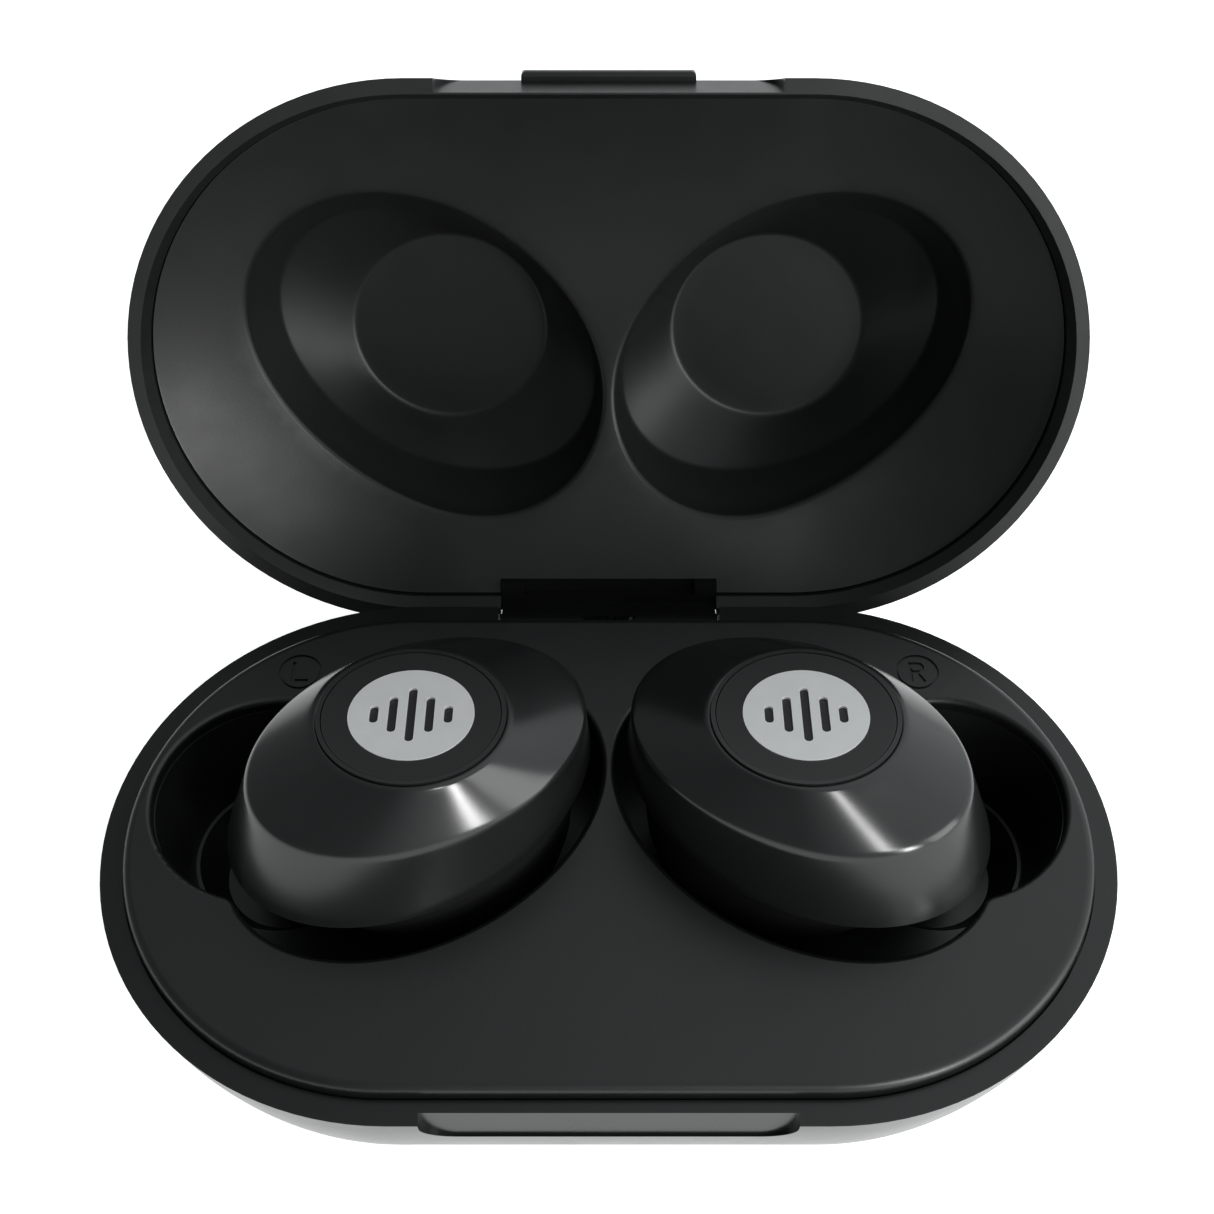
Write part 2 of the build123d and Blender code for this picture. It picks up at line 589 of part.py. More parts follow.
DOCK_MAGNET = (13.4, 4.6, 1.7, 1.6)
with BuildPart() as dock_magnets:
    for side, _ in SIDES:
        spot = Plane((side * DOCK_MAGNET[0], DOCK_MAGNET[1], CUP_UNDER - DOCK_MAGNET[3]))
        add(peg(spot, DOCK_MAGNET[2], DOCK_MAGNET[3]))
save(dock_magnets.part, "dock_magnets")

# ================= spring contacts under each earbud =================
PLUNGER_R = 0.45
PLUNGER_LOW = 6.2
PLUNGER_TOP = BODY_FLOOR[5] - 0.05
SOCKET_LOW = 5.4
SOCKET_R = 0.5
for side, name in SIDES:
    middle = sum(x for x, _ in PIN_SPOTS) / len(PIN_SPOTS)
    with BuildPart() as pin_socket:
        with Locations((side * middle, PIN_SPOTS[0][1], (BOARD_TOP + CUP_UNDER) / 2)):
            Box(4.6, 2.4, CUP_UNDER - BOARD_TOP)
        for x, y in PIN_SPOTS:
            add(peg(Plane((side * x, y, SOCKET_LOW)), SOCKET_R, 4), mode=Mode.SUBTRACT)
    save(pin_socket.part, f"pin_socket_{name}")
    for (x, y), place in zip(PIN_SPOTS, ("outer", "inner")):
        with BuildPart() as plunger:
            add(peg(Plane((side * x, y, PLUNGER_LOW)), PLUNGER_R, PLUNGER_TOP - PLUNGER_LOW))
            fillet(plunger.edges().group_by(Axis.Z)[-1], 0.25)
        save(plunger.part, f"charge_pin_{name}_{place}")

# ================= earbuds =================
TIP_LEAN = 45.0
TIP_BASE = (19.3, 2.7, 12.5)
TIP_LENGTH = 4.8
TIP_R = 4.4
TIP_END_R = 2.6
NOZZLE_R = 2.1
NOZZLE_BORE = 1.45
DRIVER = (2.15, 1.8)
CELL = (11.1, 2.6, 4.8, 17.9, 4.0)
SEAT_DEEP = 1.6  # depths below the earbud's outer face
CAVITY_DEEP = 1.9
BOARD_DEEP = 3.0
BOARD = (4.8, 0.5)
SWITCH = (3.4, 0.7)
SWITCH_DOME = (0.9, 0.45)
TRIM_HIGH = 1.75
BUTTON_DEEP = 1.1
BUTTON_HIGH = 1.2
BADGE_SEAT = 0.05
FITTING_GAP = 0.02
RIM_FILLET = 0.25
CAVITY_MARGIN = 1.1
HOLE_MARGIN = 0.5
CONTACT = (0.9, 0.3)
DOCK_PLATE = ((11.9, 4.2, 12.4), 1.8, 1.4)
MESH_PLACE = (3.2, 0.25)
DRIVER_BACK = 4.6
NOZZLE_BACK = 2.0
NOZZLE_LENGTH = 5.6
TIP_FILLET = 0.45
BADGE_BARS = (1.5, 3.1, 4.7, 3.1, 1.5)
BADGE_PITCH = 1.16
BAR_WIDTH = 0.56


def tip_plane(side, along=0.0):
    """The plane across the nozzle's axis, moved along it towards the tip."""
    lean = radians(TIP_LEAN)
    plane = Plane(origin=(side * TIP_BASE[0], *TIP_BASE[1:]), x_dir=(0, 1, 0),
                  z_dir=(side * sin(lean), 0, -cos(lean)))
    return plane.offset(along)


for side, name in SIDES:
    with BuildPart() as outer_shell:
        add(bud_outer(side, 0.0, FACE_R, 0.0))
        fillet(outer_shell.edges().group_by(Axis.Z)[-1], RIM_FILLET)
        add(bud_outer(side, BUD_SKIN, FACE_R - CAVITY_MARGIN, -CAVITY_DEEP), mode=Mode.SUBTRACT)
        add(peg(face_plane(side, -SEAT_DEEP), TRIM_OUT + FITTING_GAP, 3), mode=Mode.SUBTRACT)
        add(peg(face_plane(side, -BOARD_DEEP), TRIM_IN - HOLE_MARGIN, 3), mode=Mode.SUBTRACT)
    save(outer_shell.part, f"bud_{name}_outer_shell")

    with BuildPart() as trim_ring:
        add(peg(face_plane(side, -SEAT_DEEP), TRIM_OUT, TRIM_HIGH))
        add(peg(face_plane(side, -SEAT_DEEP - 0.1), TRIM_IN, TRIM_HIGH + 0.2), mode=Mode.SUBTRACT)
    save(trim_ring.part, f"bud_{name}_trim_ring")

    with BuildPart() as button:
        add(peg(face_plane(side, -BUTTON_DEEP), BUTTON_R, BUTTON_HIGH))
        add(peg(face_plane(side, -BADGE_SEAT), BADGE_R + FITTING_GAP, 1), mode=Mode.SUBTRACT)
    save(button.part, f"bud_{name}_button")

    with BuildPart() as badge:
        with BuildSketch(face_plane(side, -BADGE_SEAT)):
            Circle(BADGE_R)
            for place, length in enumerate(BADGE_BARS):
                with Locations(((place - 2) * BADGE_PITCH, 0)):
                    SlotOverall(length, BAR_WIDTH, rotation=90, mode=Mode.SUBTRACT)
        extrude(amount=BADGE_THICK)
    save(badge.part, f"bud_{name}_badge")

    with BuildPart() as switch:
        with BuildSketch(face_plane(side, BOARD[1] - BOARD_DEEP)):
            Rectangle(SWITCH[0], SWITCH[0])
        extrude(amount=SWITCH[1])
        add(peg(face_plane(side, -CAVITY_DEEP), *SWITCH_DOME))
    save(switch.part, f"bud_{name}_switch")
    save(peg(face_plane(side, -BOARD_DEEP), *BOARD), f"bud_{name}_board")
    save(peg(Plane((side * CELL[0], CELL[1], CELL[3])), CELL[2], CELL[4]), f"bud_{name}_cell")

    with BuildPart() as inner_housing:
        add(oval_loft(side, (BODY_FLOOR, BODY_MID, BODY_TOP)))
        add(peg(tip_plane(side, -NOZZLE_BACK), NOZZLE_R, NOZZLE_LENGTH))
        hollow = (at_height(BODY_FLOOR, BODY_FLOOR[5] + BUD_SKIN), BODY_MID, at_height(BODY_TOP, BODY_TOP[5] + 1))
        add(oval_loft(side, hollow, -BUD_SKIN), mode=Mode.SUBTRACT)
        add(peg(tip_plane(side, -NOZZLE_BACK - 1), NOZZLE_BORE, NOZZLE_LENGTH + 2.4), mode=Mode.SUBTRACT)
        for x, y in PIN_SPOTS:
            pad = peg(Plane((side * x, y, BODY_FLOOR[5] - 1)), CONTACT[0] + FITTING_GAP, CONTACT[1] + 1)
            add(pad, mode=Mode.SUBTRACT)
    save(inner_housing.part, f"bud_{name}_inner_housing")

    with BuildPart() as contacts:
        for x, y in PIN_SPOTS:
            add(peg(Plane((side * x, y, BODY_FLOOR[5])), *CONTACT))
    save(contacts.part, f"bud_{name}_contacts")
    (x, y, z), *disc = DOCK_PLATE
    save(peg(Plane((side * x, y, z)), *disc), f"bud_{name}_magnet")
    save(peg(tip_plane(side, -DRIVER_BACK), *DRIVER), f"bud_{name}_driver")
    save(peg(tip_plane(side, MESH_PLACE[0]), NOZZLE_BORE - FITTING_GAP, MESH_PLACE[1]), f"bud_{name}_nozzle_mesh")

    with BuildPart() as ear_tip:
        with BuildSketch(tip_plane(side)):
            Circle(TIP_R)
        with BuildSketch(tip_plane(side, TIP_LENGTH)):
            Circle(TIP_END_R)
        loft()
        fillet(ear_tip.edges().sort_by(Axis.Z)[0], TIP_FILLET)
        add(peg(tip_plane(side, -1), NOZZLE_R + 0.01, TIP_LENGTH - 0.1), mode=Mode.SUBTRACT)
        add(oval_loft(side, (BODY_FLOOR, BODY_MID, BODY_TOP), 0.1), mode=Mode.SUBTRACT)
        add(peg(tip_plane(side, -1), NOZZLE_BORE, TIP_LENGTH + 3), mode=Mode.SUBTRACT)
    save(ear_tip.part, f"bud_{name}_ear_tip")
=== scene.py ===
"""Wireless earbuds case, open, with both earbuds seated: materials, soft parts, light and camera.

Everything is in metres in the CAD frame: the origin is the centre of the flat underside, +Z is up, +Y
points to the hinge and +X to the right. Shader textures work in millimetres of object space.
"""

import json
from math import cos, pi, radians, sin

import bmesh
import bpy
import numpy as np
from mathutils import Matrix, Vector
from mathutils.geometry import delaunay_2d_cdt


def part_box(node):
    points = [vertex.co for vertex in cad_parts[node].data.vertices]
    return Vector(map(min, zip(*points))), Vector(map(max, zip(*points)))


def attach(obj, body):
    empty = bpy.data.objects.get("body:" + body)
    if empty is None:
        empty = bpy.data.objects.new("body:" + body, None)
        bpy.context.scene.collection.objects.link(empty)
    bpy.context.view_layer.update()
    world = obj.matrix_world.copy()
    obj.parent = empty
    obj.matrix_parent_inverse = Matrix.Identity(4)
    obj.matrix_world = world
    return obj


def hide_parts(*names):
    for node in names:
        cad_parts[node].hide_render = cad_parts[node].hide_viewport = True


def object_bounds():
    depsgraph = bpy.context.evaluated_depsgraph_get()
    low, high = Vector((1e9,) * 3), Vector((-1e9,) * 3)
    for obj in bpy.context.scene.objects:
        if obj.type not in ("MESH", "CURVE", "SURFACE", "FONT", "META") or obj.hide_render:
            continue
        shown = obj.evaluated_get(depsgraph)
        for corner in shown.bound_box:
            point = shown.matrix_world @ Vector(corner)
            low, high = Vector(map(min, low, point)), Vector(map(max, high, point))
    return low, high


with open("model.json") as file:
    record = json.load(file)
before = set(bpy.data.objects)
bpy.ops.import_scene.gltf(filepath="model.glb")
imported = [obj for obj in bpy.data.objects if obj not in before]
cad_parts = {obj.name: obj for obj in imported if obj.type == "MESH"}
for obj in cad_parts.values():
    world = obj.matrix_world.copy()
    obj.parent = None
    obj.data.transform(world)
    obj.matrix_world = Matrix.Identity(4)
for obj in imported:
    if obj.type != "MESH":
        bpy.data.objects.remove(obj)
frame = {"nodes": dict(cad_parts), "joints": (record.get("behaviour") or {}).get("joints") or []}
CAD_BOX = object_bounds()
NODES = frame["nodes"]
MM = 0.001

# ---- camera ----
VIEW_PITCH = radians(50.82)  # how far the camera looks down
VIEW_DISTANCE = 145.5 * MM
AIM_BEHIND_PIN = 2.24 * MM
LENS = 59.08
VIEW_SHIFT = -0.0014

# ---- earbuds, in millimetres ----
# each oval level is its centre x and y, half length, half width, turn in degrees and height
STATIONS = 192  # points round each ring
SHARP_ANGLE = radians(38)
STRAY_NORMAL = cos(radians(35))
BUD_SKIRT = (12.85, 2.8, 12.8, 9.2, 36.5, 17.8)
BUD_EDGE = (12.05, 2.4, 11.15, 7.85, 25.0, 23.3)
BUD_SKIN = 0.9
BUD_EDGE_SKIN = 0.36  # under the shoulder, straight down
EDGE_ROUND = 0.45  # how far each rounded edge reaches along its faces
SKIRT_ROUND = 0.12
BROW_ROUND = 0.2
SEAT_ROUND = 0.06
FACE = (12.3, 2.8, 25.6)
FACE_LEAN = radians(9.0)
FACE_R = 6.3
SEAT_R = 5.97
SEAT_DEEP = 1.6
HOLE_R = 5.16
HOLE_SKIN = 0.3  # of the seat's floor, round the hole
TIP_LEAN = radians(45.0)
TIP_BASE = (19.3, 2.7, 12.5)
TIP_STATIONS = 96
TIP_SHARP = radians(60)
# radius and distance along the nozzle of each point of the ear tip's section
TIP_OUTSIDE = ((4.05, 0.25), (4.3, 0.4), (4.38, 0.75), (4.3, 1.35), (4.05, 2.1), (3.65, 2.9), (3.2, 3.7),
               (2.75, 4.35), (2.4, 4.7), (2.05, 4.8), (1.75, 4.76), (1.5, 4.6))
TIP_INSIDE = ((1.46, 4.2), (1.46, 0.4), (1.55, 0.25), (1.95, 0.25), (2.1, 0.45), (2.15, 1.6), (2.5, 2.3),
              (3.0, 2.2), (3.5, 1.4), (3.8, 0.7), (3.85, 0.4))

# ---- lid liner, in millimetres, with the lid closed ----
LINER = (63.0, 36.3)  # length and width
LINER_RISE = 4.7  # of the dish, from its long edge to its middle line
LINER_TOP = 21.7
LINER_SKIN = 0.7
LINER_SHARP = radians(40)
MOUTH_ROUND = 0.38
STEP_ROUND = 0.3
FLOOR_ROUND = 0.25
FLOOR_SHARES = (0.85, 0.6, 0.35, 0.12)  # rings of the pocket's floor, as shares of its radius
GRID_STEP = 0.9
GRID_SPANS = ((-31.0, 31.1), (-18.0, 18.1))  # of the grid of points over the dish, along x and along y
END_POINTS = 64
FRONT_POINTS = 14
WELD = 0.004  # points closer than this are joined
SAME_PLACE = 0.0005
MOUTH_TRIES = 40
BLOCK_HALF = 7.95  # the notch for the hinge block
BLOCK_FRONT = 17.25
LID_LEVELS = (
    (12.75, 1.3, 13.95, 10.6, 40.0, 18.0),
    (12.75, 0.9, 13.8, 10.2, 40.0, 20.4),
    (12.3, 1.2, 12.3, 9.0, 34.0, 23.9),
    (11.75, 1.2, 7.1, 7.1, 34.0, 27.3),
)

# ---- light ----
FLOOR_SIZE = 3.0
FLOOR_GLOW = 0.78
FLOOR_DIM_GLOW = 0.12
POOL_RADIUS = 0.14
POOL_FADE = 0.42
SKY_LEFT = 0.27
SKY_RIGHT = 1.2
SKY_TURN_RIGHT = (-0.2, 0.25)  # where the left's strength ends and the right's begins
SKY_FRONT_SHARE = 0.62
SKY_TURN_BACK = (-0.6, 0.3)
SKY_TINT = (0.93, 0.99, 1.0, 1.0)
LIGHT_DISTANCE = 0.5
# name, direction from the case, width and height in metres, watts
SOFTBOXES = (
    ("key_low", (0.62, -0.77, 0.2), (0.05, 0.12), 0.9),
    ("key_high", (0.41, -0.78, 0.48), (0.05, 0.15), 0.6),
    ("side", (0.9, -0.37, 0.24), (0.24, 0.25), 0.8),
)


# ================= shader building blocks =================
def shader(tree, kind, sockets=None, **settings):
    """Adds a shader node. sockets maps an input's name or number to a value or to another node's output."""
    made = tree.nodes.new("ShaderNode" + kind)
    for name, value in settings.items():
        setattr(made, name, value)
    for name, value in (sockets or {}).items():
        if isinstance(value, bpy.types.NodeSocket):
            tree.links.new(value, made.inputs[name])
        else:
            made.inputs[name].default_value = value
    return made


def mm_space(tree, stretch=(1.0, 1.0, 1.0)):
    """Object coordinates in millimetres, stretched along an axis where a finish has a direction."""
    place = shader(tree, "TexCoord").outputs["Object"]
    scale = tuple(factor / MM for factor in stretch)
    return shader(tree, "VectorMath", {0: place, 1: scale}, operation="MULTIPLY").outputs[0]


def noise(tree, per_mm, detail=3.0, stretch=(1.0, 1.0, 1.0)):
    """Noise with per_mm blobs in each millimetre."""
    sockets = {"Vector": mm_space(tree, stretch), "Scale": per_mm, "Detail": detail}
    return shader(tree, "TexNoise", sockets).outputs[0]


def remap(tree, value, low, high, to_low, to_high):
    """Maps a value from one range to another and stops at its ends."""
    sockets = {0: value, 1: low, 2: high, 3: to_low, 4: to_high}
    return shader(tree, "MapRange", sockets).outputs[0]


def mix_colour(tree, factor, first, second):
    """A colour between two others."""
    return shader(tree, "Mix", {0: factor, 6: first, 7: second}, data_type="RGBA").outputs[2]


def edge_mask(tree, radius, samples=6):
    """1 on edges sharper than the radius, 0 on flat faces."""
    rounded = shader(tree, "Bevel", {"Radius": radius}, samples=samples).outputs[0]
    plain = shader(tree, "NewGeometry").outputs["Normal"]
    along = shader(tree, "VectorMath", {0: rounded, 1: plain}, operation="DOT_PRODUCT").outputs["Value"]
    return remap(tree, along, 0.995, 0.85, 0.0, 1.0)


def bump(tree, height, strength, depth, onto=None):
    """A bump normal, depth metres deep, laid onto another normal if one is given."""
    sockets = {"Height": height, "Strength": strength, "Distance": depth}
    if onto is not None:
        sockets["Normal"] = onto
    return shader(tree, "Bump", sockets).outputs[0]


def grey(level, warmth=0.0):
    """A near-neutral colour; warmth above 0 leans to red and below 0 to blue."""
    return (level * (1 + warmth), level, level * (1 - warmth), 1.0)


def material(name, fixed, linked):
    """A Principled material. fixed sets its constant sockets, and linked(tree) gives the textured ones."""
    made = bpy.data.materials.new(name)
    made.use_nodes = True
    tree = made.node_tree
    surface = tree.nodes["Principled BSDF"]
    for socket, value in fixed.items():
        surface.inputs[socket].default_value = value
    for socket, output in linked(tree).items():
        tree.links.new(output, surface.inputs[socket])
    return made


# ================= materials =================
PLASTIC_WARMTH = -0.02
# how far edges lighten: partly handling wear, partly a painted edge highlight
EDGE_WEAR_AND_HIGHLIGHT = 0.25
# tint, roughness, grain per millimetre, strength of the grain, specular level
PLASTICS = {
    "base_black": (0.005, 0.26, 7.0, 0.08, 0.42),
    "tray_black": (0.0045, 0.36, 7.0, 0.22, 0.5),
    "lid_black": (0.005, 0.34, 7.0, 0.15, 0.5),
    "liner_black": (0.0075, 0.38, 7.0, 0.25, 0.27),
    "hinge_black": (0.002, 0.5, 6.0, 0.3, 0.25),
    "bud_satin_black": (0.0085, 0.205, 12.0, 0.04, 0.5),
    "bud_body_black": (0.002, 0.75, 6.0, 0.3, 0.18),
    "trim_black": (0.007, 0.3, 9.0, 0.05, 0.5),
    "button_black": (0.006, 0.42, 8.0, 0.15, 0.5),
    "component_black": (0.02, 0.45, 5.0, 0.3, 0.5),
}
# colour, roughness, stretch of the scratches along x, y and z, strength of the scratches
METALS = {
    "contact_gold": ((0.83, 0.6, 0.24, 1.0), 0.25, (1.0, 1.0, 0.2), 0.25),
    "mesh_steel": (grey(0.4), 0.35, (1.0, 1.0, 1.0), 0.25),
    "magnet_nickel": (grey(0.66, 0.02), 0.18, (1.0, 1.0, 1.0), 0.1),
    "cell_steel": (grey(0.58), 0.3, (0.15, 1.0, 1.0), 0.25),
    "spring_black": (grey(0.03), 0.4, (0.3, 1.0, 1.0), 0.25),
    "fastener_steel": (grey(0.56), 0.28, (1.0, 0.2, 1.0), 0.25),
}


def moulded_plastic(name, tint, roughness, grain_per_mm, grain_strength, specular):
    """Injection-moulded plastic: fine grain, faint flow marks, edges lightened partly as handling wear and
    partly as a painted edge highlight, and a few smudges.
    """

    def textures(tree):
        grain = noise(tree, grain_per_mm, 4.0)
        flow = noise(tree, 0.09, 2.0)
        smudge = noise(tree, 0.35, 5.0)
        edges = edge_mask(tree, 0.00035)
        # edges turn towards three times the tint: partly handling wear, partly a painted edge highlight
        dark, pale, worn_and_highlit = (grey(tint * share, PLASTIC_WARMTH) for share in (0.8, 1.25, 3.0))
        mottled = mix_colour(tree, flow, dark, pale)
        rubbed_and_highlit = shader(tree, "Math", {0: edges, 1: EDGE_WEAR_AND_HIGHLIGHT}, operation="MULTIPLY").outputs[0]
        colour = mix_colour(tree, rubbed_and_highlit, mottled, worn_and_highlit)
        rough = remap(tree, smudge, 0.3, 0.7, roughness * 0.94, roughness * 1.06)
        polish = remap(tree, edges, 0.0, 1.0, 1.0, 0.85)
        rough = shader(tree, "Math", {0: rough, 1: polish}, operation="MULTIPLY").outputs[0]
        waves = bump(tree, flow, 0.05, 0.0003)
        finish = bump(tree, grain, grain_strength, 0.00002, waves)
        return {"Base Color": colour, "Roughness": rough, "Normal": finish}

    return material(name, {"IOR": 1.5, "Specular IOR Level": specular}, textures)


def brushed_metal(name, colour, roughness, stretch, scratch_strength):
    """Metal with fine scratches drawn out along one axis."""

    def textures(tree):
        scratches = noise(tree, 9.0, 4.0, stretch)
        blotches = noise(tree, 0.5, 3.0)
        dull = tuple(channel * 0.75 for channel in colour[:3]) + (1.0,)
        tone = mix_colour(tree, blotches, dull, colour)
        rough = remap(tree, scratches, 0.25, 0.75, roughness * 0.75, roughness * 1.3)
        finish = bump(tree, scratches, scratch_strength, 0.000004)
        return {"Base Color": tone, "Roughness": rough, "Normal": finish}

    return material(name, {"Metallic": 1.0}, textures)


def silver_badge(name):
    """Satin silver plate: fine sparkle grain and a slightly brighter rim."""

    def textures(tree):
        grain = noise(tree, 22.0, 3.0)
        cloud = noise(tree, 0.6, 3.0)
        edges = edge_mask(tree, 0.0001)
        tone = mix_colour(tree, cloud, grey(0.62), grey(0.70))
        tone = mix_colour(tree, edges, tone, grey(0.85))
        rough = remap(tree, grain, 0.3, 0.7, 0.42, 0.6)
        return {"Base Color": tone, "Roughness": rough, "Normal": bump(tree, grain, 0.3, 0.000006)}

    return material(name, {"Metallic": 0.35, "IOR": 1.5}, textures)


def silicone(name):
    """Soft black ear-tip silicone: dusty sheen, faint moulding texture."""

    def textures(tree):
        dust = noise(tree, 1.4, 6.0)
        skin = noise(tree, 12.0, 3.0)
        tone = mix_colour(tree, remap(tree, dust, 0.45, 0.75, 0.0, 1.0), grey(0.010), grey(0.022))
        rough = remap(tree, dust, 0.3, 0.7, 0.5, 0.68)
        return {"Base Color": tone, "Roughness": rough, "Normal": bump(tree, skin, 0.15, 0.00001)}

    fixed = {"IOR": 1.41, "Sheen Weight": 0.12, "Sheen Roughness": 0.4}
    return material(name, fixed, textures)


def solder_mask(name):
    """Green circuit board: traces under the mask and a weave of glass cloth."""

    def textures(tree):
        weave = noise(tree, 3.0, 2.0, (1.0, 6.0, 1.0))
        cells = shader(tree, "TexVoronoi", {"Vector": mm_space(tree), "Scale": 0.9},
                       feature="DISTANCE_TO_EDGE", distance="MANHATTAN").outputs["Distance"]
        traces = remap(tree, cells, 0.05, 0.08, 1.0, 0.0)
        tone = mix_colour(tree, traces, (0.012, 0.085, 0.035, 1.0), (0.03, 0.17, 0.07, 1.0))
        rough = remap(tree, weave, 0.3, 0.7, 0.3, 0.42)
        raised = bump(tree, traces, 0.5, 0.00003)
        return {"Base Color": tone, "Roughness": rough, "Normal": bump(tree, weave, 0.1, 0.00001, raised)}

    return material(name, {"IOR": 1.5, "Coat Weight": 0.3, "Coat Roughness": 0.2}, textures)


def foil_pouch(name):
    """Laminated battery pouch: crinkled foil under a satin film."""

    def textures(tree):
        crinkle = noise(tree, 0.9, 6.0)
        tone = mix_colour(tree, crinkle, grey(0.42, -0.02), grey(0.6, -0.02))
        rough = remap(tree, crinkle, 0.3, 0.7, 0.32, 0.5)
        return {"Base Color": tone, "Roughness": rough, "Normal": bump(tree, crinkle, 0.35, 0.0001)}

    return material(name, {"Metallic": 0.8}, textures)


def make_finishes():
    """One material for each finish slot of the record."""
    made = {name: moulded_plastic(name, *numbers) for name, numbers in PLASTICS.items()}
    made.update({name: brushed_metal(name, *numbers) for name, numbers in METALS.items()})
    made["badge_silver"] = silver_badge("badge_silver")
    made["ear_tip_rubber"] = silicone("ear_tip_rubber")
    made["battery_wrap"] = foil_pouch("battery_wrap")
    made["circuit_green"] = solder_mask("circuit_green")
    return made


def finish_cad_nodes(finishes):
    """Every CAD node gets its slot's finish, and sound shading."""
    for node in NODES.values():
        mend_shading(node.data)
        slots = [slot.name.split(".")[0] for slot in node.data.materials]
        for place, slot in enumerate(slots):
            node.data.materials[place] = finishes[slot]


def mend_shading(mesh):
    """Gives a corner its face's own normal where the stored one leans far away from it."""
    count = len(mesh.loops)
    stored = np.empty(count * 3)
    mesh.corner_normals.foreach_get("vector", stored)
    stored = stored.reshape(-1, 3)
    faces = np.empty(len(mesh.polygons) * 3)
    mesh.polygons.foreach_get("normal", faces)
    corners = np.empty(len(mesh.polygons), dtype=int)
    mesh.polygons.foreach_get("loop_total", corners)
    own = np.repeat(faces.reshape(-1, 3), corners, axis=0)
    astray = np.sum(stored * own, axis=1) < STRAY_NORMAL
    if astray.any():
        stored[astray] = own[astray]
        mesh.normals_split_custom_set(stored.tolist())


# ================= mesh building blocks =================
def new_piece(name, mesh, body, slot, *replaced):
    """Adds a finished mesh as a piece that stands for CAD nodes and rides on their body."""
    piece = bpy.data.objects.new(name, mesh)
    bpy.context.scene.collection.objects.link(piece)
    mesh.materials.append(finishes[slot])
    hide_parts(*replaced)
    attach(piece, body)
    return piece


def join_rings(bm, lower, upper):
    """Adds quads between two rings of points."""
    for k in range(len(lower)):
        after = (k + 1) % len(lower)
        bm.faces.new((lower[k], lower[after], upper[after], upper[k]))


def add_rings(bm, rings):
    """Adds quads between rings of equally many points. Returns each ring's new points."""
    loops = [[bm.verts.new(point) for point in ring] for ring in rings]
    for lower, upper in zip(loops, loops[1:]):
        join_rings(bm, lower, upper)
    return loops


def rings_to_mesh(name, rings, sharp=SHARP_ANGLE):
    """A closed mesh: quads between rings of equally many points, and from the last ring to the first."""
    bm = bmesh.new()
    loops = add_rings(bm, rings)
    join_rings(bm, loops[-1], loops[0])
    bmesh.ops.recalc_face_normals(bm, faces=bm.faces)
    return finish_mesh(name, bm, sharp)


def finish_mesh(name, bm, sharp):
    """Turns a bmesh into a mesh that is smooth except at its sharp and open edges."""
    bmesh.ops.remove_doubles(bm, verts=bm.verts, dist=SAME_PLACE * MM)
    bm.edges.index_update()
    open_edges = [edge.index for edge in bm.edges if edge.is_boundary]
    mesh = bpy.data.meshes.new(name)
    bm.to_mesh(mesh)
    bm.free()
    mesh.polygons.foreach_set("use_smooth", [True] * len(mesh.polygons))
    mesh.set_sharp_from_angle(angle=sharp)
    for edge in open_edges:
        mesh.edges[edge].use_edge_sharp = True
    return mesh


def oval_ring(side, level, inset=0.0):
    """Points round one oval level of an earbud or of a lid pocket, in millimetres."""
    x, y, length, width, turn, height = level
    turn = radians(turn if side < 0 else 180 - turn)
    angles = np.linspace(0, 2 * pi, STATIONS, endpoint=False)
    along = (length - inset) * np.cos(angles)
    across = (width - inset) * np.sin(angles)
    return np.stack((side * x + along * cos(turn) - across * sin(turn),
                     y + along * sin(turn) + across * cos(turn),
                     np.full(STATIONS, height)), axis=1)


def rounded(before, corner, after, reach, steps=5):
    """Rings round a corner ring, curving from reach before it to reach after it."""
    first = corner + (before - corner) * (reach / np.linalg.norm(before - corner, axis=1))[:, None]
    last = corner + (after - corner) * (reach / np.linalg.norm(after - corner, axis=1))[:, None]
    shares = np.linspace(0, 1, steps + 1)
    return [(1 - t) ** 2 * first + 2 * t * (1 - t) * corner + t**2 * last for t in shares]


def between(first, last, steps):
    """Rings spaced evenly between two rings, without either."""
    return [first + (last - first) * k / (steps + 1) for k in range(1, steps + 1)]


# ================= earbud shells =================
def face_ring(side, radius, height):
    """Points round a circle in the earbud's leaning outer face, in step with the oval below it."""
    seam = radians(BUD_EDGE[4] if side < 0 else 180 - BUD_EDGE[4])
    normal = np.array((0, sin(FACE_LEAN), cos(FACE_LEAN)))
    along = np.array((cos(seam), sin(seam) * cos(FACE_LEAN), -sin(seam) * sin(FACE_LEAN)))
    across = np.cross(normal, along)
    centre = np.array((side * FACE[0], FACE[1], FACE[2])) + normal * height
    angles = np.linspace(0, 2 * pi, STATIONS, endpoint=False)[:, None]
    return centre + radius * (np.cos(angles) * along + np.sin(angles) * across)


